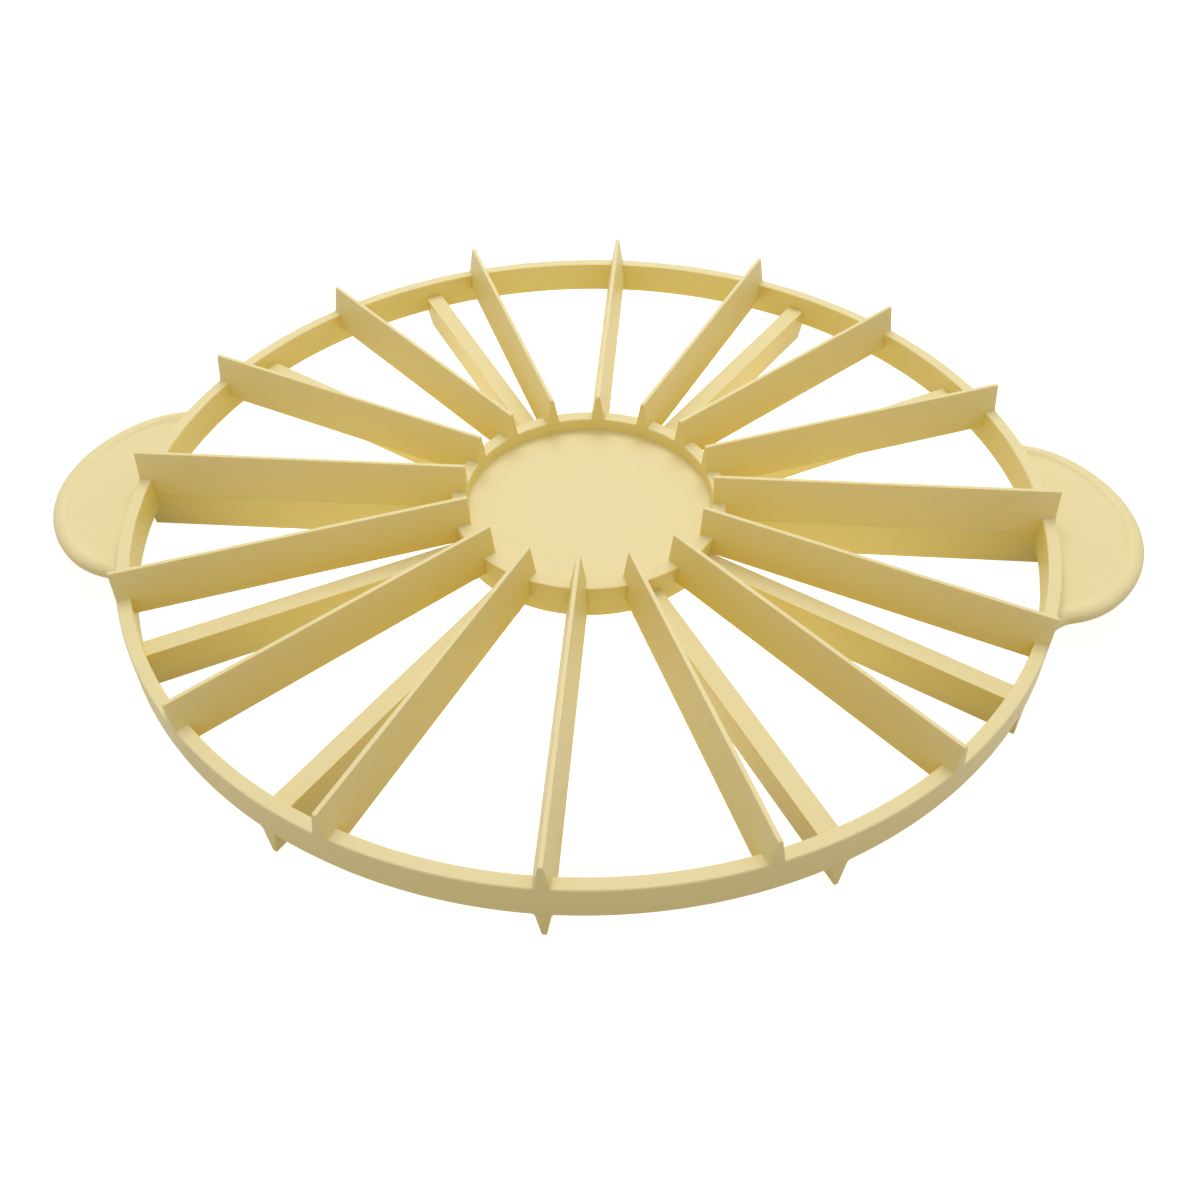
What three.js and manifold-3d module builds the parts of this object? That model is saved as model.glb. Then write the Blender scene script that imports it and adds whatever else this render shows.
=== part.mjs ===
// Cake portion marker: a rigid moulded wheel that is pressed on a round cake to mark equal slices.
// One face carries sixteen blades and the other face twelve, so it is turned over to change the count.
// The model is in millimetres, +Z up, standing on the edges of its lower blades, with +X along the
// handles. Rim, hub, blades and handles are divided along the lines where the moulding joins them.

import * as THREE from "three";
import { mergeVertices } from "three/addons/utils/BufferGeometryUtils.js";
import Module from "manifold-3d";

// Rim: an upright band round the whole wheel.
const RIM_DIAMETER = 270;
const RIM_WALL = 3.8;
const RIM_HEIGHT = 10.4;
const RIM_EDGE_RADIUS = 0.5;

// Hub: a collar with a thin floor half way up, so that both faces are dished.
const HUB_DIAMETER = 81;
const HUB_WALL = 4.2;
const HUB_HEIGHT = 10.4;
const HUB_EDGE_RADIUS = 0.5;
const HUB_FLOOR = 1.8;
const HUB_FLOOR_FILLET = 0.8;

// Blades: a V section with its flat base on the middle plane and a narrow flat on its marking edge.
const UPPER_BLADE_COUNT = 16;
const LOWER_BLADE_COUNT = 12;
const BLADE_HEIGHT = 13.6;
const BLADE_BASE_WIDTH = 5.8;
const BLADE_EDGE_WIDTH = 1.2;

// Handles: a thin web inside a raised bead, with a three-arc outline and a fillet at each root. The
// web thickens where it leaves the rim. The handles lie a little below the middle plane.
const HANDLE_REACH = 26;
const HANDLE_WIDTH = 77.4;
const HANDLE_RISE = 32;
const HANDLE_SHOULDER_RADIUS = 26.5;
const HANDLE_ROOT_RADIUS = 11;
const HANDLE_BEAD_WIDTH = 5.6;
const HANDLE_BEAD_HEIGHT = 4.6;
const HANDLE_WEB = 2.8;
const HANDLE_WEB_FILLET = 1.5;
const HANDLE_DROP = 0.7;

// Free space between the solids where round walls meet their neighbours.
const SEAM = 0.3;

// Smoothness of the round forms.
const RIM_SEGMENTS = 144;
const HUB_SEGMENTS = 84;
const CORNER_STEPS = 2;
const BEAD_SIDES = 14;
const BEAD_STEPS = 48;
const OUTLINE_STEPS = 8;

// Appearance of the moulded plastic.
const CREAM = 0xe7d7a4;
const CREAM_ROUGHNESS = 0.42;

// Radii that follow from the sizes above.
const rimOuter = RIM_DIAMETER / 2;
const rimInner = rimOuter - RIM_WALL;
const hubOuter = HUB_DIAMETER / 2;
const hubInner = hubOuter - HUB_WALL;

const wasm = await Module();
wasm.setup();

// A closed geometry as a solid that can be joined and cut.
function solidOf(geometry) {
  const bare = geometry.clone();
  bare.deleteAttribute("normal");
  bare.deleteAttribute("uv");
  const merged = mergeVertices(bare);
  const vertProperties = merged.getAttribute("position").array;
  const triVerts = new Uint32Array(merged.getIndex().array);
  return new wasm.Manifold(new wasm.Mesh({ numProp: 3, vertProperties, triVerts }));
}

// A solid as a geometry for one sub-part.
function geometryOf(solid) {
  const { vertProperties, triVerts } = solid.getMesh();
  const geometry = new THREE.BufferGeometry();
  geometry.setAttribute("position", new THREE.BufferAttribute(vertProperties, 3));
  geometry.setIndex(new THREE.BufferAttribute(triVerts, 1));
  geometry.computeVertexNormals();
  return geometry;
}

// A profile of radius and height turned round the Z axis.
function turned(profile, segments) {
  return new THREE.LatheGeometry(profile.getPoints(CORNER_STEPS), segments).rotateX(Math.PI / 2);
}

function subPart(name, geometry) {
  const material = new THREE.MeshStandardMaterial({
    color: CREAM,
    roughness: CREAM_ROUGHNESS,
    metalness: 0,
  });
  const mesh = new THREE.Mesh(geometry, material);
  mesh.name = name;
  return mesh;
}

// The rim's section: a rectangle with rounded edges, closed on itself.
function rimGeometry() {
  const top = RIM_HEIGHT / 2;
  const r = RIM_EDGE_RADIUS;
  const profile = new THREE.Path();
  profile.absarc(rimOuter - r, top - r, r, 0, Math.PI / 2);
  profile.absarc(rimInner + r, top - r, r, Math.PI / 2, Math.PI);
  profile.absarc(rimInner + r, r - top, r, Math.PI, 1.5 * Math.PI);
  profile.absarc(rimOuter - r, r - top, r, 1.5 * Math.PI, 2 * Math.PI);
  profile.closePath();
  return turned(profile, RIM_SEGMENTS);
}

// The hub's section: from the axis out under the floor, round the collar and back over the floor.
function hubGeometry() {
  const top = HUB_HEIGHT / 2;
  const floor = HUB_FLOOR / 2;
  const r = HUB_EDGE_RADIUS;
  const f = HUB_FLOOR_FILLET;
  const profile = new THREE.Path();
  profile.moveTo(0, -floor);
  profile.lineTo(hubInner - f, -floor);
  profile.absarc(hubInner - f, -floor - f, f, Math.PI / 2, 0, true);
  profile.absarc(hubInner + r, r - top, r, Math.PI, 1.5 * Math.PI);
  profile.absarc(hubOuter - r, r - top, r, 1.5 * Math.PI, 2 * Math.PI);
  profile.absarc(hubOuter - r, top - r, r, 0, Math.PI / 2);
  profile.absarc(hubInner + r, top - r, r, Math.PI / 2, Math.PI);
  profile.absarc(hubInner - f, floor + f, f, 0, -Math.PI / 2, true);
  profile.lineTo(0, floor);
  return turned(profile, HUB_SEGMENTS);
}

// A block across the blade's path from one radius to another, as high as what the blade laps over.
function seat(from, to, height) {
  const block = new THREE.BoxGeometry(to - from, 2 * BLADE_BASE_WIDTH, height);
  return solidOf(block.translate((from + to) / 2, 0, 0));
}

// One blade along +X with its edge up. It is a V section drawn out from the hub's inner wall to the
// rim's outer wall, cut back below so that it stands between collar and rim and laps over both.
function bladeGeometry() {
  const section = new THREE.Shape();
  section.moveTo(-BLADE_BASE_WIDTH / 2, 0);
  section.lineTo(BLADE_BASE_WIDTH / 2, 0);
  section.lineTo(BLADE_EDGE_WIDTH / 2, BLADE_HEIGHT);
  section.lineTo(-BLADE_EDGE_WIDTH / 2, BLADE_HEIGHT);
  const bar = new THREE.ExtrudeGeometry(section, { depth: rimOuter - hubInner, bevelEnabled: false });
  const acrossUpAlong = new THREE.Matrix4().makeBasis(
    new THREE.Vector3(0, 1, 0),
    new THREE.Vector3(0, 0, 1),
    new THREE.Vector3(1, 0, 0),
  );
  bar.applyMatrix4(acrossUpAlong).translate(hubInner, 0, 0);
  const rimSeat = seat(rimInner - SEAM, rimOuter + RIM_WALL, RIM_HEIGHT);
  const hubSeat = seat(hubInner - HUB_WALL, hubOuter + SEAM, HUB_HEIGHT);
  return geometryOf(solidOf(bar).subtract(rimSeat).subtract(hubSeat));
}

// Where two circles cross, on the side with the larger y.
function crossing(centreA, radiusA, centreB, radiusB) {
  const gap = centreB.clone().sub(centreA);
  const distance = gap.length();
  const along = (distance ** 2 + radiusA ** 2 - radiusB ** 2) / (2 * distance);
  const aside = Math.sqrt(radiusA ** 2 - along ** 2);
  const direction = gap.divideScalar(distance);
  const normal = new THREE.Vector2(-direction.y, direction.x);
  const sideways = normal.multiplyScalar(normal.y < 0 ? -aside : aside);
  return centreA.clone().addScaledVector(direction, along).add(sideways);
}

// The middle line of a handle's bead, from root to root: a root fillet, a shoulder, the tip, and the
// same again on the other side. The sizes are those of the handle's outer edge, half a bead outside.
function beadLine() {
  const half = HANDLE_WIDTH / 2;
  const shoulder = HANDLE_SHOULDER_RADIUS;
  const inset = HANDLE_BEAD_WIDTH / 2;
  const tip = rimOuter + HANDLE_REACH;
  const tipRadius =
    (HANDLE_RISE ** 2 + half ** 2 - 2 * half * shoulder) / (2 * (HANDLE_RISE - shoulder));
  const wheelCentre = new THREE.Vector2(0, 0);
  const tipCentre = new THREE.Vector2(tip - tipRadius, 0);
  const shoulderCentre = new THREE.Vector2(tip - HANDLE_RISE, half - shoulder);
  const rootCentre = crossing(
    wheelCentre,
    rimOuter + HANDLE_ROOT_RADIUS,
    shoulderCentre,
    shoulder + HANDLE_ROOT_RADIUS,
  );
  const tipTurn = shoulderCentre.clone().sub(tipCentre).angle();
  const shoulderTurn = rootCentre.clone().sub(shoulderCentre).angle();
  const rootTurn = rootCentre.angle();
  const rootInset = HANDLE_ROOT_RADIUS + inset;
  const line = new THREE.Path();
  line.absarc(rootCentre.x, -rootCentre.y, rootInset, Math.PI - rootTurn, Math.PI - shoulderTurn, true);
  line.absarc(shoulderCentre.x, -shoulderCentre.y, shoulder - inset, -shoulderTurn, -tipTurn);
  line.absarc(tipCentre.x, 0, tipRadius - inset, -tipTurn, tipTurn);
  line.absarc(shoulderCentre.x, shoulderCentre.y, shoulder - inset, tipTurn, shoulderTurn);
  line.absarc(rootCentre.x, rootCentre.y, rootInset, Math.PI + shoulderTurn, Math.PI + rootTurn, true);
  return line;
}

// The ring that fills the corners between the web and the rim's wall with a hollow fillet.
function webFilletGeometry() {
  const web = HANDLE_WEB / 2;
  const f = HANDLE_WEB_FILLET;
  const profile = new THREE.Path();
  profile.absarc(rimOuter + f, -web - f, f, Math.PI, Math.PI / 2, true);
  profile.absarc(rimOuter + f, web + f, f, 1.5 * Math.PI, Math.PI, true);
  profile.closePath();
  return turned(profile, RIM_SEGMENTS);
}

// A plate of the handle's plan inside its bead line, with its mid height on the middle plane.
function handlePlate(thickness) {
  const outline = new THREE.Shape(beadLine().getPoints(OUTLINE_STEPS));
  const plate = new THREE.ExtrudeGeometry(outline, { depth: thickness, bevelEnabled: false });
  return solidOf(plate.translate(0, 0, -thickness / 2));
}

// An oval section drawn along the bead line.
function beadGeometry() {
  const stops = beadLine().getSpacedPoints(BEAD_STEPS).map((p) => new THREE.Vector3(p.x, p.y, 0));
  const oval = new THREE.Shape();
  oval.absellipse(0, 0, HANDLE_BEAD_HEIGHT / 2, HANDLE_BEAD_WIDTH / 2, 0, 2 * Math.PI);
  return new THREE.ExtrudeGeometry(oval, {
    curveSegments: BEAD_SIDES / 2,
    steps: BEAD_STEPS,
    extrudePath: new THREE.CatmullRomCurve3(stops),
  });
}

// One handle on the +X side: web, bead and fillet in one piece, cut off where the rim's wall stands.
function handleGeometry() {
  const fillet = handlePlate(RIM_HEIGHT).intersect(solidOf(webFilletGeometry()));
  const whole = handlePlate(HANDLE_WEB).add(solidOf(beadGeometry())).add(fillet);
  const clearance = new THREE.CylinderGeometry(rimOuter + SEAM, rimOuter + SEAM, RIM_HEIGHT, RIM_SEGMENTS);
  return geometryOf(whole.subtract(solidOf(clearance.rotateX(Math.PI / 2))));
}

// One face's blades, evenly spaced from the right handle round the wheel.
function bladeSet(prefix, count, faceTurn) {
  const set = new THREE.Group();
  for (let i = 0; i < count; i += 1) {
    const blade = subPart(`${prefix}_${String(i + 1).padStart(2, "0")}`, bladeGeometry());
    blade.rotation.x = faceTurn;
    const spoke = new THREE.Group();
    spoke.rotation.z = (2 * Math.PI * i) / count;
    spoke.add(blade);
    set.add(spoke);
  }
  return set;
}

const marker = new THREE.Group();
marker.position.z = BLADE_HEIGHT;
marker.add(subPart("rim_ring", rimGeometry()));
marker.add(subPart("hub", hubGeometry()));
marker.add(bladeSet("upper_blade", UPPER_BLADE_COUNT, 0));
marker.add(bladeSet("lower_blade", LOWER_BLADE_COUNT, Math.PI));

const rightHandle = subPart("handle_right", handleGeometry());
const leftHandle = subPart("handle_left", handleGeometry());
leftHandle.rotation.z = Math.PI;
const handles = new THREE.Group();
handles.position.z = -HANDLE_DROP;
handles.add(rightHandle, leftHandle);
marker.add(handles);

export default marker;
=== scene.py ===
"""Looks for a cake portion marker, a rigid wheel of cream plastic that marks slices on a cake.

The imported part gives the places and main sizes. Its pieces are rebuilt as they leave the mould, with
rounded edges, and with fillets where blades and handles grow out of the rim and the hub.
"""

import math

import bpy
import numpy as np
from mathutils import Matrix, Vector


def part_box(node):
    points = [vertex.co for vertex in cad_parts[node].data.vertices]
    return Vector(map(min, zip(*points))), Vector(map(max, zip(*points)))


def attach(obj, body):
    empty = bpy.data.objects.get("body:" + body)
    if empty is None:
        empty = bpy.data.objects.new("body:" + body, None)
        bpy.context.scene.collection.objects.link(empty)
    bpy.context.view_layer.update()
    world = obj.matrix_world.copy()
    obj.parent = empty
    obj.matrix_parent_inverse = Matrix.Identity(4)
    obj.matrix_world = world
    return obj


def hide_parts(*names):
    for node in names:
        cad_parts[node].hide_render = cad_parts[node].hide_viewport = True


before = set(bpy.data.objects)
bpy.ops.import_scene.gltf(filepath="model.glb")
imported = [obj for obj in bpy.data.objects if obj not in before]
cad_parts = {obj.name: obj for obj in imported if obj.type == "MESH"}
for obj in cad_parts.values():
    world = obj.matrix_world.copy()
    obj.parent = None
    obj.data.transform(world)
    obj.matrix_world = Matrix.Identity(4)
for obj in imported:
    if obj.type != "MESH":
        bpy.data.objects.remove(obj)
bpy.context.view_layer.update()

bl_info = {
    "name": "Cake portion marker",
    "version": (1, 0, 0),
    "blender": (4, 5, 0),
    "location": "View3D > Sidebar > Marker",
    "description": "Builds a moulded cake portion marker round its packed part",
    "category": "Add Mesh",
}

MM = 0.001
BODY = "root"
WHITE = (1.0, 1.0, 1.0, 1.0)

# Edges that turn by more than this stay sharp in the shading.
SHARP_ANGLE = math.radians(50)

# Finish of the plastic: flow marks, the unevenness of its skin, its sheen and how cloudy it is.
FLOW_MARK = 18 * MM
SKIN_WAVE = 6 * MM
SKIN_DEPTH = 0.05 * MM
SKIN_STRENGTH = 0.35
PATTERN_SHIFT = 50.0
POLYSTYRENE_IOR = 1.59
SHEEN = 0.25
CLOUD_WEIGHT = 0.3
CLOUD_REACH = 1.2 * MM
CLOUD_TINT = (1.0, 0.7, 0.35)

# Painted shade: walls as near as this deepen the colour towards the corner shade, from the second share
# of open sky down to the first.
CORNER_REACH = 80 * MM
CORNER_SKY, OPEN_SKY = 0.2, 0.85

# Upright share of the normal from which a face starts to count as flat, and fully does; flat faces get
# no painted shade.
NEARLY_FLAT, FLAT = 0.7, 0.97

# Light that the paper gives off itself: white to the camera, and a painted pool of light, a glowing spot
# on the table below the wheel.
PAPER_WHITE = 0.8
SPOT_GLOW = 0.57
SPOT_PLACE = (0.0, 22 * MM, 0.0)
SPOT_INNER = 70 * MM
SPOT_OUTER = 160 * MM

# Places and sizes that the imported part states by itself.
RIM_LOW, RIM_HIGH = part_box("rim_ring")
HUB_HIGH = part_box("hub")[1]
BLADE_LOW, BLADE_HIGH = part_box("upper_blade_01")
HANDLE_LOW, HANDLE_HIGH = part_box("handle_right")
MIDDLE = (RIM_LOW.z + RIM_HIGH.z) / 2
RIM_RADIUS = RIM_HIGH.x
RIM_TOP = RIM_HIGH.z - MIDDLE
HUB_RADIUS = HUB_HIGH.x
HUB_TOP = HUB_HIGH.z - MIDDLE
BLADE_HEIGHT = BLADE_HIGH.z - MIDDLE
BLADE_BASE = BLADE_HIGH.y - BLADE_LOW.y
HANDLE_TIP = HANDLE_HIGH.x
HANDLE_LEVEL = (HANDLE_LOW.z + HANDLE_HIGH.z) / 2
UPPER_BLADES = sorted(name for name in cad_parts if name.startswith("upper_blade_"))
LOWER_BLADES = sorted(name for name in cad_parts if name.startswith("lower_blade_"))


def length(name, description, millimetres):
    """A size that the user can change, kept in metres and shown in the scene's unit."""
    return bpy.props.FloatProperty(
        name=name,
        description=description,
        default=millimetres * MM,
        min=0.0,
        precision=5,
        unit="LENGTH",
    )


def colour(name, description, hex_code):
    """A colour that the user can change, written as sRGB hex and kept as linear light."""
    return bpy.props.FloatVectorProperty(
        name=name,
        description=description,
        default=linear(hex_code),
        min=0.0,
        max=1.0,
        size=3,
        subtype="COLOR",
    )


def linear(hex_code):
    """Linear light of an sRGB colour such as "e7d7a4"."""
    shares = [int(hex_code[i : i + 2], 16) / 255 for i in (0, 2, 4)]
    return [s / 12.92 if s <= 0.04045 else ((s + 0.055) / 1.055) ** 2.4 for s in shares]


class MarkerSizes(bpy.types.PropertyGroup):
    """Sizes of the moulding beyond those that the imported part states"""

    rim_wall: length("Rim wall", "Thickness of the rim's band", 3.8)
    hub_wall: length("Hub wall", "Thickness of the hub's collar", 4.2)
    hub_floor: length("Hub floor", "Thickness of the floor inside the collar", 1.8)
    floor_fillet: length("Floor fillet", "Radius where the hub's floor meets its collar", 0.3)
    edge_radius: length("Edge radius", "Radius on the edges of rim and collar", 0.5)
    blade_edge: length("Blade edge", "Width of the flat on a blade's marking edge", 1.2)
    blade_radius: length("Blade radius", "Radius on the edges of a blade", 0.2)
    joint_fillet: length("Joint fillet", "Radius where a blade grows out of rim and hub", 0.2)
    handle_width: length("Handle width", "Width of a handle across its shoulders", 77.4)
    handle_rise: length("Handle rise", "From the line of the shoulders to the tip", 32.0)
    shoulder_radius: length("Shoulder radius", "Outline radius of a handle's shoulder", 26.5)
    root_radius: length("Root radius", "Outline radius where a handle runs into the rim", 11.0)
    bead_width: length("Bead width", "Width of the bead along a handle's edge", 5.6)
    bead_height: length("Bead height", "Height of the bead through the handle", 4.6)
    handle_web: length("Handle web", "Thickness of the web inside the bead", 2.8)
    bead_fillet: length("Bead fillet", "How softly the bead runs out on the web", 0.3)
    web_fillet: length("Web fillet", "Radius where the web meets the rim's wall", 1.5)


class MarkerColours(bpy.types.PropertyGroup):
    """Colours and finish of the moulding and its stage"""

    cream: colour("Cream", "Body colour of the plastic", "ece2b2")
    cream_deep: colour("Deep cream", "Body colour in the slightly denser flow marks", "e9deab")
    # Painted shade: the colour that corners and faces between near walls are deepened towards.
    painted_corner_shade: colour("Corner cream", "Body colour where light goes round in a corner", "ebd674")
    roughness: bpy.props.FloatProperty(
        name="Roughness",
        description="Satin finish that the polished mould leaves",
        default=0.48,
        min=0.0,
        max=1.0,
        subtype="FACTOR",
    )
    backdrop: colour("Backdrop", "Paper under the marker, as it is lit", "bcbcbc")
    fill: colour("Fill", "Light that the walls of the room send to the marker", "fff6e8")


def sizes():
    """The sizes that are set in this scene."""
    return bpy.context.scene.marker_sizes


def colours():
    """The colours and the finish that are set in this scene."""
    return bpy.context.scene.marker_colours


def rim_inside():
    """Radius of the rim's inner wall."""
    return RIM_RADIUS - sizes().rim_wall


def hub_inside():
    """Radius of the inner wall of the hub's collar."""
    return HUB_RADIUS - sizes().hub_wall


# Outlines and sections

def rounded(corners, steps):
    """Points of an open outline whose corners, each (x, y, radius), are turned into arcs."""
    points = []
    for i, (x, y, radius) in enumerate(corners):
        here = np.array((x, y), float)
        if radius == 0:
            points.append(here)
            continue
        back = np.array(corners[i - 1][:2], float) - here
        ahead = np.array(corners[(i + 1) % len(corners)][:2], float) - here
        back /= np.linalg.norm(back)
        ahead /= np.linalg.norm(ahead)
        half_angle = math.acos(np.clip(back @ ahead, -1, 1)) / 2
        middle = (back + ahead) / np.linalg.norm(back + ahead)
        centre = here + middle * radius / math.sin(half_angle)
        start = here + back * radius / math.tan(half_angle) - centre
        end = here + ahead * radius / math.tan(half_angle) - centre
        sweep = math.pi - 2 * half_angle
        for share in np.linspace(0, 1, steps + 1):
            spoke = math.sin((1 - share) * sweep) * start + math.sin(share * sweep) * end
            points.append(centre + spoke / math.sin(sweep))
    return np.array(points)


def fillet(distance, radius):
    """How far a wall stands out at a distance from the wall it grows from, along a fillet's arc."""
    inside = radius - np.clip(distance, 0, radius)
    return radius - np.sqrt(radius**2 - inside**2)


def arc(centre, radius, start, end, spacing):
    """Points on a circle from one angle to another, about a spacing apart."""
    count = max(2, round(abs(end - start) * radius / spacing))
    turn = np.linspace(start, end, count + 1)
    return np.stack((centre[0] + radius * np.cos(turn), centre[1] + radius * np.sin(turn)), 1)


# Meshes

def add_piece(name, mesh, nodes, place):
    """Puts a mesh in the scene as a piece that stands for the named nodes of the part."""
    piece = bpy.data.objects.new(name, mesh)
    piece.matrix_world = place
    bpy.context.scene.collection.objects.link(piece)
    normals = piece.modifiers.new("Even flats", "WEIGHTED_NORMAL")
    normals.keep_sharp = True
    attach(piece, BODY)
    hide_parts(*nodes)
    return piece


def new_mesh(name, points, faces):
    """A mesh of the moulded plastic, shaded smooth apart from its sharp edges."""
    mesh = bpy.data.meshes.new(name)
    mesh.from_pydata(np.asarray(points).reshape(-1, 3).tolist(), [], faces)
    mesh.validate()
    mesh.shade_smooth()
    mesh.set_sharp_from_angle(angle=SHARP_ANGLE)
    mesh.materials.append(moulded_polystyrene())
    return mesh


def grid_faces(rows, columns, close_rows=False, close_columns=False):
    """Quads over a grid of points that are stored row by row."""
    faces = []
    for i in range(rows if close_rows else rows - 1):
        for j in range(columns if close_columns else columns - 1):
            i2 = (i + 1) % rows
            j2 = (j + 1) % columns
            faces.append([r * columns + c for r, c in ((i, j), (i2, j), (i2, j2), (i, j2))])
    return faces


def bar_faces(rows, columns, pairs):
    """Faces of a bar of closed sections. Strips between pairs of a section's points cap its ends."""
    faces = grid_faces(rows, columns, close_columns=True)
    last = (rows - 1) * columns
    for (a, b), (c, d) in zip(pairs, pairs[1:]):
        cap = list(dict.fromkeys((a, c, d, b)))
        faces.append(cap)
        faces.append([last + k for k in reversed(cap)])
    return faces


def turned(profile, segments):
    """Points of a profile of radius and height turned round the Z axis, one row for each segment."""
    turn = np.linspace(0, 2 * math.pi, segments, endpoint=False)
    radius, height = profile.T
    x = np.outer(np.cos(turn), radius)
    y = np.outer(np.sin(turn), radius)
    return np.stack((x, y, np.broadcast_to(height, x.shape)), 2)


# Materials

def add_node(tree, kind, **settings):
    """A shader node, with its settings given by name, and its inputs by socket name or number."""
    node = tree.nodes.new(kind)
    inputs = settings.pop("inputs", {})
    for key, value in settings.items():
        setattr(node, key, value)
    for socket, value in inputs.items():
        if isinstance(value, bpy.types.NodeSocket):
            tree.links.new(value, node.inputs[socket])
        else:
            node.inputs[socket].default_value = value
    return node


def seen_directly(tree):
    """One for rays that look at a surface straight, in a gloss or through clear matter, else zero."""
    rays = add_node(tree, "ShaderNodeLightPath").outputs
    direct = rays["Is Camera Ray"]
    for kind in ("Is Glossy Ray", "Is Transmission Ray"):
        direct = add_node(
            tree, "ShaderNodeMath", operation="MAXIMUM", inputs={0: direct, 1: rays[kind]}
        ).outputs[0]
    return direct


def moulded_polystyrene():
    """Injection-moulded cream polystyrene: satin, and a little cloudy, so that light warms inside it,
    with shade painted into its colour near walls.
    """
    name = "injection_moulded_cream_polystyrene"
    if name in bpy.data.materials:
        return bpy.data.materials[name]
    material = bpy.data.materials.new(name)
    material.use_nodes = True
    tree = material.node_tree
    tree.nodes.clear()
    place = add_node(tree, "ShaderNodeTexCoord").outputs["Object"]
    chance = add_node(tree, "ShaderNodeObjectInfo").outputs["Random"]
    seed = add_node(
        tree, "ShaderNodeMath", operation="MULTIPLY", inputs={0: chance, 1: PATTERN_SHIFT}
    ).outputs[0]
    # Cloudy flow marks as broad as a finger, hardly darker than the rest.
    flow = add_node(
        tree,
        "ShaderNodeTexNoise",
        noise_dimensions="4D",
        inputs={"Vector": place, "W": seed, "Scale": 1 / FLOW_MARK, "Detail": 3.0, "Roughness": 0.45},
    ).outputs["Fac"]
    body = add_node(
        tree,
        "ShaderNodeMix",
        data_type="RGBA",
        inputs={0: flow, 6: (*colours().cream, 1.0), 7: (*colours().cream_deep, 1.0)},
    ).outputs[2]
    # Painted shade: near walls, found by ambient occlusion, deepen the colour towards the corner shade,
    # standing in for light that goes round between walls of cloudy plastic.
    open_share = add_node(
        tree, "ShaderNodeAmbientOcclusion", samples=8, inputs={"Distance": CORNER_REACH}
    ).outputs["AO"]
    clear_share = add_node(
        tree,
        "ShaderNodeMapRange",
        inputs={"Value": open_share, "From Min": CORNER_SKY, "From Max": OPEN_SKY},
    ).outputs[0]
    # Faces that lie flat get no painted shade, as they get their light straight from above.
    facing = add_node(tree, "ShaderNodeNewGeometry").outputs["Normal"]
    up = add_node(tree, "ShaderNodeSeparateXYZ", inputs={0: facing}).outputs["Z"]
    upright = add_node(tree, "ShaderNodeMath", operation="ABSOLUTE", inputs={0: up}).outputs[0]
    flat_share = add_node(
        tree,
        "ShaderNodeMapRange",
        inputs={"Value": upright, "From Min": NEARLY_FLAT, "From Max": FLAT},
    ).outputs[0]
    clear_share = add_node(
        tree, "ShaderNodeMath", operation="MAXIMUM", inputs={0: clear_share, 1: flat_share}
    ).outputs[0]
    body = add_node(
        tree,
        "ShaderNodeMix",
        data_type="RGBA",
        inputs={0: clear_share, 6: (*colours().painted_corner_shade, 1.0), 7: body},
    ).outputs[2]
    # A mould polished by hand leaves a skin that is uneven by a few hundredths of a millimetre.
    skin = add_node(
        tree,
        "ShaderNodeTexNoise",
        noise_dimensions="4D",
        inputs={"Vector": place, "W": seed, "Scale": 1 / SKIN_WAVE, "Detail": 2.0},
    ).outputs["Fac"]
    ripple = add_node(
        tree,
        "ShaderNodeBump",
        inputs={"Height": skin, "Strength": SKIN_STRENGTH, "Distance": SKIN_DEPTH},
    ).outputs["Normal"]
    surface = add_node(
        tree,
        "ShaderNodeBsdfPrincipled",
        subsurface_method="RANDOM_WALK",
        inputs={
            "Base Color": body,
            "Roughness": colours().roughness,
            "IOR": POLYSTYRENE_IOR,
            "Normal": ripple,
            "Specular IOR Level": SHEEN,
            "Subsurface Weight": CLOUD_WEIGHT,
            "Subsurface Radius": CLOUD_TINT,
            "Subsurface Scale": CLOUD_REACH,
        },
    )
    add_node(tree, "ShaderNodeOutputMaterial", inputs={"Surface": surface.outputs[0]})
    return material


def backdrop_paper():
    """White paper that shows white to the camera, keeps a soft trace of the marker's shadow, and glows
    in a painted pool of light under the wheel.
    """
    material = bpy.data.materials.new("white_backdrop_paper")
    material.use_nodes = True
    tree = material.node_tree
    tree.nodes.clear()
    # Painted pool of light: the paper glows by itself in a soft spot under the far half of the wheel,
    # standing in for the lamp at the back lighting the table there.
    place = add_node(tree, "ShaderNodeTexCoord").outputs["Object"]
    radius = add_node(
        tree, "ShaderNodeVectorMath", operation="DISTANCE", inputs={0: place, 1: SPOT_PLACE}
    ).outputs["Value"]
    spot = add_node(
        tree,
        "ShaderNodeMapRange",
        interpolation_type="SMOOTHSTEP",
        inputs={0: radius, 1: SPOT_INNER, 2: SPOT_OUTER, 3: SPOT_GLOW, 4: 0.0},
    ).outputs[0]
    white = add_node(
        tree,
        "ShaderNodeMath",
        operation="MULTIPLY_ADD",
        inputs={0: seen_directly(tree), 1: PAPER_WHITE, 2: spot},
    ).outputs[0]
    glow = add_node(tree, "ShaderNodeEmission", inputs={"Strength": white}).outputs[0]
    paper = add_node(
        tree, "ShaderNodeBsdfDiffuse", inputs={"Color": (*colours().backdrop, 1.0)}
    ).outputs[0]
    both = add_node(tree, "ShaderNodeAddShader", inputs={0: glow, 1: paper}).outputs[0]
    add_node(tree, "ShaderNodeOutputMaterial", inputs={"Surface": both})
    return material


# Pieces

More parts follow.
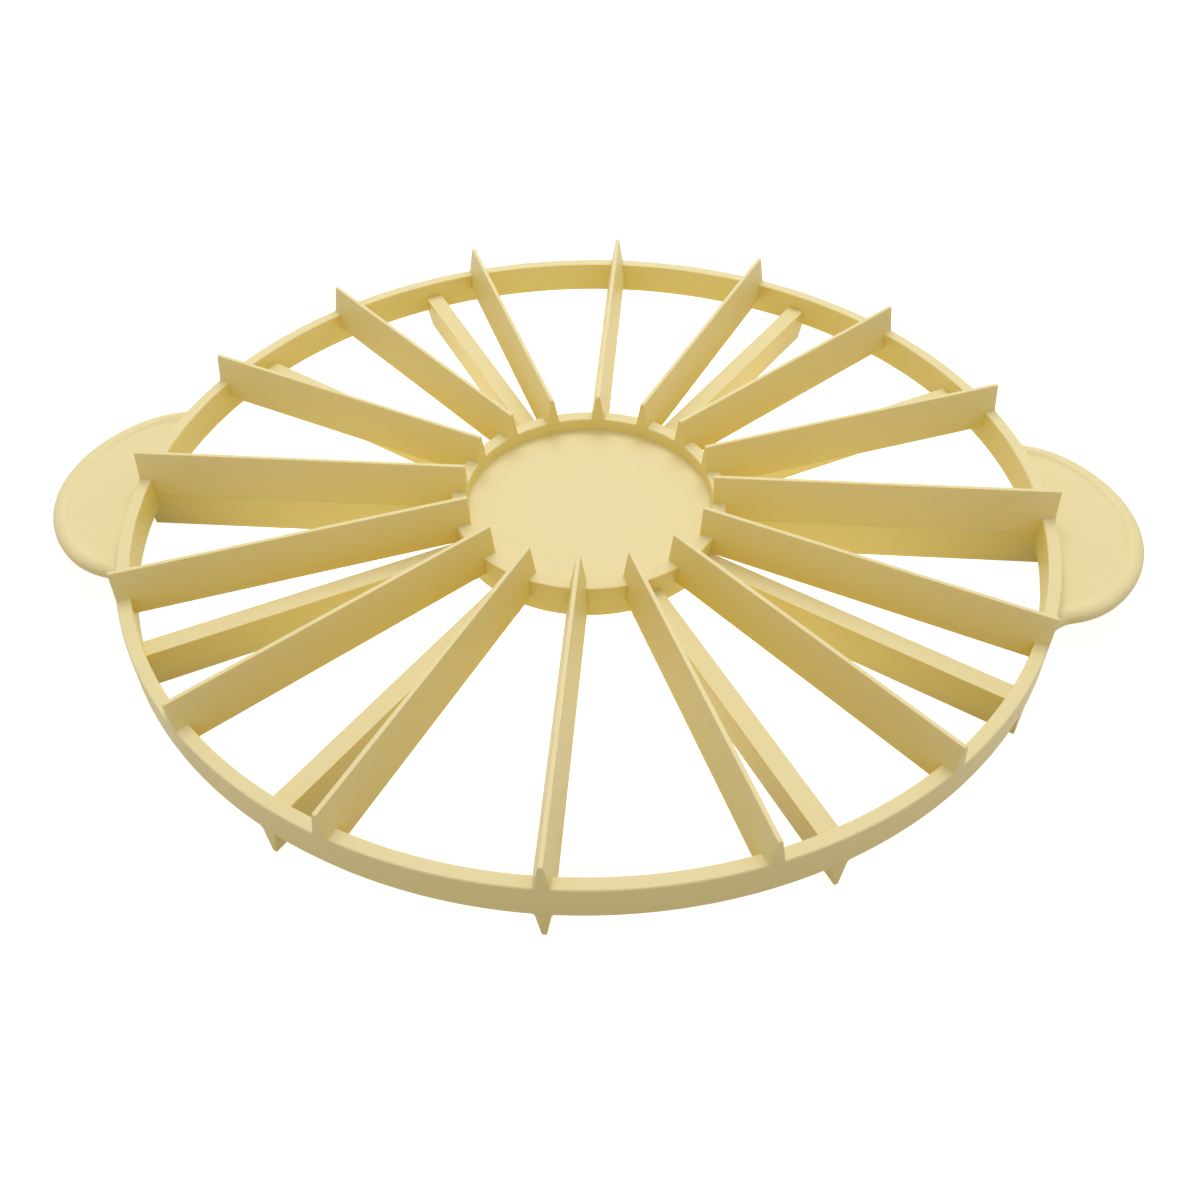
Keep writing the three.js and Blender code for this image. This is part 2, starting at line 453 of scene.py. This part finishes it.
class MARKER_OT_rim(bpy.types.Operator):
    """Builds the rim, an upright band with rounded edges"""

    bl_idname = "marker.rim"
    bl_label = "Rim"

    segments = 240
    corner_steps = 4

    def execute(self, context):
        edge = sizes().edge_radius
        inner = rim_inside()
        corners = [
            (RIM_RADIUS, RIM_TOP, edge),
            (inner, RIM_TOP, edge),
            (inner, -RIM_TOP, edge),
            (RIM_RADIUS, -RIM_TOP, edge),
        ]
        profile = rounded(corners, self.corner_steps)
        points = turned(profile, self.segments)
        faces = grid_faces(self.segments, len(profile), close_rows=True, close_columns=True)
        mesh = new_mesh("moulded_rim", points, faces)
        add_piece("moulded_rim", mesh, ["rim_ring"], Matrix.Translation((0, 0, MIDDLE)))
        return {"FINISHED"}


class MARKER_OT_hub(bpy.types.Operator):
    """Builds the hub, a collar with a floor half way up"""

    bl_idname = "marker.hub"
    bl_label = "Hub"

    segments = 144
    corner_steps = 4

    def execute(self, context):
        edge = sizes().edge_radius
        inner = hub_inside()
        floor = sizes().hub_floor / 2
        half_profile = [
            (inner, floor, sizes().floor_fillet),
            (inner, HUB_TOP, edge),
            (HUB_RADIUS, HUB_TOP, edge),
            (HUB_RADIUS, 0, 0),
        ]
        upper = rounded([(0, floor, 0), *half_profile], self.corner_steps)[1:]
        lower = upper[-2::-1] * (1, -1)
        profile = np.concatenate((upper, lower))
        points = turned(profile, self.segments).reshape(-1, 3)
        faces = grid_faces(self.segments, len(profile), close_rows=True)
        rows = range(self.segments)
        faces.append([row * len(profile) for row in reversed(rows)])
        faces.append([row * len(profile) + len(profile) - 1 for row in rows])
        mesh = new_mesh("moulded_hub", points, [face[::-1] for face in faces])
        add_piece("moulded_hub", mesh, ["hub"], Matrix.Translation((0, 0, MIDDLE)))
        return {"FINISHED"}


class MARKER_OT_blades(bpy.types.Operator):
    """Builds the blades of both faces, which grow out of the hub's collar and the rim"""

    bl_idname = "marker.blades"
    bl_label = "Blades"

    corner_steps = 3
    fillet_shares = (0.0, 0.04, 0.12, 0.25, 0.42, 0.65, 1.0)
    end_shares = (0.0, 0.1, 0.35, 1.0)
    middle_stations = 6
    side_levels = 4
    end_sink = 0.6 * MM
    # Ends draw in by a little less than the radius along the edges, so that their corners stay round.
    end_draw = 0.9

    def half_section(self, base_radius):
        """The right half of a blade's section as (across, up), from the base's middle to the edge's."""
        edge = sizes().blade_edge / 2
        corners = [
            (0, 0, 0),
            (BLADE_BASE / 2, 0, base_radius),
            (edge, BLADE_HEIGHT, sizes().blade_radius),
            (0, BLADE_HEIGHT, 0),
        ]
        outline = rounded(corners, self.corner_steps)
        foot = self.corner_steps + 1 if base_radius else 1
        start, end = outline[foot], outline[foot + 1]
        seats = RIM_TOP + sizes().joint_fillet * np.array(self.fillet_shares)
        spread = np.linspace(seats[-1], end[1], self.side_levels + 2)[1:-1]
        levels = np.concatenate(([RIM_TOP - sizes().edge_radius], seats, spread))
        share = ((levels - start[1]) / (end[1] - start[1]))[:, None]
        return np.concatenate((outline[: foot + 1], start + share * (end - start), outline[foot + 1 :]))

    def stations(self):
        """Distances from the axis at which the section is drawn: close at ends and fillets."""
        fillets = sizes().joint_fillet * np.array(self.fillet_shares)
        ends = sizes().blade_radius * np.array(self.end_shares)
        hub_inner = hub_inside()
        rim_inner = rim_inside()
        free = np.linspace(HUB_RADIUS + fillets[-1], rim_inner - fillets[-1], self.middle_stations + 2)
        return np.concatenate(
            (
                hub_inner + ends,
                [(hub_inner + HUB_RADIUS) / 2, HUB_RADIUS - sizes().edge_radius],
                HUB_RADIUS + fillets,
                free[1:-1],
                rim_inner - fillets[::-1],
                [rim_inner + sizes().edge_radius, (rim_inner + RIM_RADIUS) / 2],
                RIM_RADIUS - ends[::-1],
            )
        )

    def wall_distance(self, outside, above):
        """Distance from a wall's section with a rounded edge, zero inside it."""
        edge = sizes().edge_radius
        across = np.maximum(outside + edge, 0)
        up = np.maximum(above + edge, 0)
        return np.maximum(np.hypot(across, up) - edge, 0)

    def blade_points(self, base_radius):
        """Points of one blade along +X with its edge up, a closed section for each station."""
        half = self.half_section(base_radius)
        tangent = np.gradient(half, axis=0)
        tangent[0] = (1, 0)
        tangent[-1] = (-1, 0)
        tangent /= np.linalg.norm(tangent, axis=1)[:, None]
        across, up = half.T
        outward = np.stack((tangent[:, 1], -tangent[:, 0]))
        along = self.stations()[:, None]
        radius = np.hypot(along, across)
        hub_inner = hub_inside()
        rim_inner = rim_inside()
        reach = sizes().joint_fillet
        growth = fillet(self.wall_distance(rim_inner - radius, up - RIM_TOP), reach)
        growth = growth + fillet(self.wall_distance(radius - HUB_RADIUS, up - HUB_TOP), reach)
        to_end = np.minimum(along - hub_inner, RIM_RADIUS - along)
        clear = np.clip((up - RIM_TOP) / reach, 0, 1)
        growth = growth - clear * self.end_draw * fillet(to_end, sizes().blade_radius)
        y = across + outward[0] * growth
        z = up + outward[1] * growth
        # Below the tops of rim and collar the ends stay inside those walls.
        sunk = np.clip((RIM_TOP - sizes().edge_radius - up) / sizes().edge_radius, 0, 1) * self.end_sink
        rim_share = np.clip((along - rim_inner) / (RIM_RADIUS - rim_inner), 0, 1)
        hub_share = np.clip((HUB_RADIUS - along) / (HUB_RADIUS - hub_inner), 0, 1)
        rim_curve = RIM_RADIUS - np.sqrt(RIM_RADIUS**2 - y**2)
        hub_curve = hub_inner - np.sqrt(hub_inner**2 - y**2)
        x = along - rim_share * (rim_curve + sunk) + hub_share * (sunk - hub_curve)
        right = np.stack((x, y, z), 2)
        left = right[:, -2:0:-1] * (1, -1, 1)
        return np.concatenate((right, left), 1), half.shape[0]

    def blade_mesh(self, name, base_radius):
        """The mesh that blades of one kind share."""
        points, half_count = self.blade_points(base_radius)
        rows, columns = points.shape[:2]
        faces = bar_faces(rows, columns, [(j, -j % columns) for j in range(half_count)])
        return new_mesh(name, points, [face[::-1] for face in faces])

    def execute(self, context):
        free = self.blade_mesh("moulded_blade", sizes().blade_radius)
        backed = self.blade_mesh("moulded_blade_backed", 0.0)
        for names, other, face_turn in (
            (UPPER_BLADES, LOWER_BLADES, 0.0),
            (LOWER_BLADES, UPPER_BLADES, math.pi),
        ):
            for i, name in enumerate(names):
                shares_place = (i * len(other)) % len(names) == 0
                turn = Matrix.Rotation(2 * math.pi * i / len(names), 4, "Z")
                place = Matrix.Translation((0, 0, MIDDLE)) @ turn @ Matrix.Rotation(face_turn, 4, "X")
                add_piece(f"moulded_{name}", backed if shares_place else free, [name], place)
        return {"FINISHED"}


class MARKER_OT_handles(bpy.types.Operator):
    """Builds the two handles, each a web inside a round bead that runs out into the rim"""

    bl_idname = "marker.handles"
    bl_label = "Handles"

    spacing = 0.9 * MM
    bead_steps = 8
    bead_width_shares = (1.2, 1.4, 1.55, 1.7, 1.8, 1.9, 2.05, 2.3, 2.7)
    web_steps = 6
    fillet_steps = 6
    fillet_crowding = 1.5
    least_web = 2 * MM
    overlap = 1.0 * MM

    def outline(self):
        """The outer edge from root to root: root fillet, shoulder, tip, shoulder, root fillet."""
        s = sizes()
        half = s.handle_width / 2
        shoulder = s.shoulder_radius
        rise = s.handle_rise
        tip_radius = (rise**2 + half**2 - 2 * half * shoulder) / (2 * (rise - shoulder))
        tip_centre = np.array((HANDLE_TIP - tip_radius, 0.0))
        shoulder_centre = np.array((HANDLE_TIP - rise, half - shoulder))
        # The root's centre is a root radius away from both the rim's wall and the shoulder.
        from_axis = RIM_RADIUS + s.root_radius
        from_shoulder = shoulder + s.root_radius
        apart = np.linalg.norm(shoulder_centre)
        along = (apart**2 + from_axis**2 - from_shoulder**2) / (2 * apart)
        aside = math.sqrt(from_axis**2 - along**2)
        direction = shoulder_centre / apart
        root_centre = along * direction + aside * np.array((-direction[1], direction[0]))
        tip_turn = math.atan2(*(shoulder_centre - tip_centre)[::-1])
        shoulder_turn = math.atan2(*(root_centre - shoulder_centre)[::-1])
        root_turn = math.atan2(*root_centre[::-1])
        tip = arc(tip_centre, tip_radius, 0, tip_turn, self.spacing)
        side = arc(shoulder_centre, shoulder, tip_turn, shoulder_turn, self.spacing)
        root_ends = math.pi + shoulder_turn, math.pi + root_turn
        root = arc(root_centre, s.root_radius, *root_ends, self.spacing)
        half_line = np.concatenate((tip, side[1:], root[1:]))
        return np.concatenate((half_line[:0:-1] * (1, -1), half_line))

    def offsets(self, width):
        """Distances inwards from the outer edge: close on the bead and at the rim."""
        bead = sizes().bead_width / 2
        crest = bead * (1 - np.cos(np.linspace(0, math.pi / 2, self.bead_steps + 1)))
        slope = bead * np.array(self.bead_width_shares)
        shares = np.linspace(0, 1, self.fillet_steps) ** self.fillet_crowding
        fillets = self.overlap + sizes().web_fillet * shares
        shortest = slope[-1] + fillets[-1] + self.least_web
        scale = min(1.0, width / shortest)
        whole = max(width, shortest)
        web = np.linspace(slope[-1], whole - fillets[-1], self.web_steps + 2)[1:-1]
        return scale * np.concatenate((crest, slope, web, whole - fillets[::-1], [whole]))

    def half_height(self, points, edge):
        """Half of the handle's thickness at points of its plan."""
        s = sizes()
        bead = s.bead_width / 2
        web = s.handle_web / 2
        start, step = edge[:-1], np.diff(edge, axis=0)
        flat = points.reshape(-1, 1, 2) - start
        share = np.clip((flat * step).sum(2) / (step**2).sum(1), 0, 1)
        inwards = np.linalg.norm(flat - share[..., None] * step, axis=2).min(1).reshape(points.shape[:2])
        crest = s.bead_height / 2 * np.sqrt(np.maximum(1 - (inwards / bead - 1) ** 2, 0))
        blend = np.maximum(s.bead_fillet - abs(crest - web), 0) / s.bead_fillet
        run_out = np.maximum(crest, web) + blend**2 * s.bead_fillet / 4
        height = np.where(inwards < bead, crest, run_out)
        from_rim = np.linalg.norm(points, axis=2) - RIM_RADIUS
        return height + fillet(from_rim, s.web_fillet) * np.clip(height / web, 0, 1)

    def execute(self, context):
        edge = self.outline()
        turn = np.arctan2(edge[:, 1], edge[:, 0])
        spread = np.linspace(turn[0], turn[-1], len(edge))
        inner = (RIM_RADIUS - self.overlap) * np.stack((np.cos(spread), np.sin(spread)), 1)
        widths = np.linalg.norm(inner - edge, axis=1)
        shares = np.array([self.offsets(width) / width for width in widths])[..., None]
        plan = edge[:, None] + shares * (inner - edge)[:, None]
        height = self.half_height(plan, edge)
        height[:, 0] = 0
        rows, columns = height.shape
        top = np.concatenate((plan, height[..., None]), 2)
        under = top[:, :0:-1] * (1, 1, -1)
        points = np.concatenate((under, top), 1)
        outer = columns - 1
        faces = bar_faces(rows, columns + outer, [(outer + j, outer - j) for j in range(columns)])
        mesh = new_mesh("moulded_handle", points, faces)
        lift = Matrix.Translation((0, 0, HANDLE_LEVEL))
        for node, side_turn in (("handle_right", 0.0), ("handle_left", math.pi)):
            add_piece(f"moulded_{node}", mesh, [node], lift @ Matrix.Rotation(side_turn, 4, "Z"))
        return {"FINISHED"}


class MARKER_OT_stage(bpy.types.Operator):
    """Sets up the white backdrop, the lamps and the camera"""

    bl_idname = "marker.stage"
    bl_label = "Stage"

    floor_half = 3.0
    camera_azimuth = math.radians(4.307)
    camera_elevation = math.radians(44.756)
    camera_roll = math.radians(-0.308)
    camera_place = (3.177 * MM, -27.737 * MM, 373.316 * MM)
    camera_lens = 37.61
    camera_near = 10 * MM
    fill_level = 0.61
    # Name, place, width, height and power in watts of each lamp. All are turned to the marker.
    softboxes = (
        ("overhead_softbox", (0.0, 0.1, 1.0), 0.6, 0.8, 1.0),
        ("back_softbox", (0.0, 0.47, 0.88), 0.7, 0.5, 3.5),
    )

    def backdrop(self):
        """The paper that the marker lies on."""
        h = self.floor_half
        mesh = bpy.data.meshes.new("backdrop")
        mesh.from_pydata([(-h, -h, 0), (h, -h, 0), (h, h, 0), (-h, h, 0)], [], [(0, 1, 2, 3)])
        mesh.materials.append(backdrop_paper())
        floor = bpy.data.objects.new("backdrop", mesh)
        bpy.context.scene.collection.objects.link(floor)

    def surroundings(self):
        """Even white walls: a soft fill for the marker, plain white for the camera."""
        world = bpy.data.worlds.new("white_room")
        world.use_nodes = True
        tree = world.node_tree
        tree.nodes.clear()
        direct = seen_directly(tree)
        level = add_node(
            tree,
            "ShaderNodeMapRange",
            inputs={"Value": direct, "To Min": self.fill_level, "To Max": 1.0},
        ).outputs[0]
        tone = add_node(
            tree,
            "ShaderNodeMix",
            data_type="RGBA",
            inputs={0: direct, 6: (*colours().fill, 1.0), 7: WHITE},
        ).outputs[2]
        walls = add_node(
            tree, "ShaderNodeBackground", inputs={"Color": tone, "Strength": level}
        ).outputs[0]
        add_node(tree, "ShaderNodeOutputWorld", inputs={"Surface": walls})
        bpy.context.scene.world = world

    def softbox(self, name, place, width, height, power):
        """A flat lamp that faces the marker."""
        lamp = bpy.data.lights.new(name, "AREA")
        lamp.shape = "RECTANGLE"
        lamp.size = width
        lamp.size_y = height
        lamp.energy = power
        box = bpy.data.objects.new(name, lamp)
        aim = (-Vector(place)).to_track_quat("-Z", "Y")
        box.matrix_world = Matrix.Translation(place) @ aim.to_matrix().to_4x4()
        bpy.context.scene.collection.objects.link(box)

    def camera(self):
        """The camera, turned about the marker's middle and then moved in its own axes."""
        lens = bpy.data.cameras.new("photo_camera")
        lens.lens = self.camera_lens
        lens.clip_start = self.camera_near
        camera = bpy.data.objects.new("photo_camera", lens)
        aim = Matrix.Rotation(self.camera_azimuth, 4, "Z")
        aim @= Matrix.Rotation(math.pi / 2 - self.camera_elevation, 4, "X")
        aim @= Matrix.Rotation(self.camera_roll, 4, "Z")
        centre = Matrix.Translation((0, 0, MIDDLE))
        camera.matrix_world = centre @ aim @ Matrix.Translation(self.camera_place)
        bpy.context.scene.collection.objects.link(camera)
        bpy.context.scene.camera = camera

    def execute(self, context):
        self.backdrop()
        self.surroundings()
        for settings in self.softboxes:
            self.softbox(*settings)
        self.camera()
        context.scene.view_settings.view_transform = "Standard"
        return {"FINISHED"}


class MARKER_PT_panel(bpy.types.Panel):
    """Lists the sizes, the colours and the steps that build the marker"""

    bl_idname = "MARKER_PT_panel"
    bl_label = "Cake portion marker"
    bl_space_type = "VIEW_3D"
    bl_region_type = "UI"
    bl_category = "Marker"

    def draw(self, context):
        for group in (context.scene.marker_sizes, context.scene.marker_colours):
            for key in group.__annotations__:
                self.layout.prop(group, key)
        for operator in OPERATORS:
            self.layout.operator(operator.bl_idname)


OPERATORS = (MARKER_OT_rim, MARKER_OT_hub, MARKER_OT_blades, MARKER_OT_handles, MARKER_OT_stage)
CLASSES = (MarkerSizes, MarkerColours, *OPERATORS, MARKER_PT_panel)


def register():
    for item in CLASSES:
        bpy.utils.register_class(item)
    bpy.types.Scene.marker_sizes = bpy.props.PointerProperty(type=MarkerSizes)
    bpy.types.Scene.marker_colours = bpy.props.PointerProperty(type=MarkerColours)


def unregister():
    del bpy.types.Scene.marker_colours
    del bpy.types.Scene.marker_sizes
    for item in reversed(CLASSES):
        bpy.utils.unregister_class(item)


def main():
    register()
    bpy.ops.marker.rim()
    bpy.ops.marker.hub()
    bpy.ops.marker.blades()
    bpy.ops.marker.handles()
    bpy.ops.marker.stage()


if __name__ == "__main__":
    main()
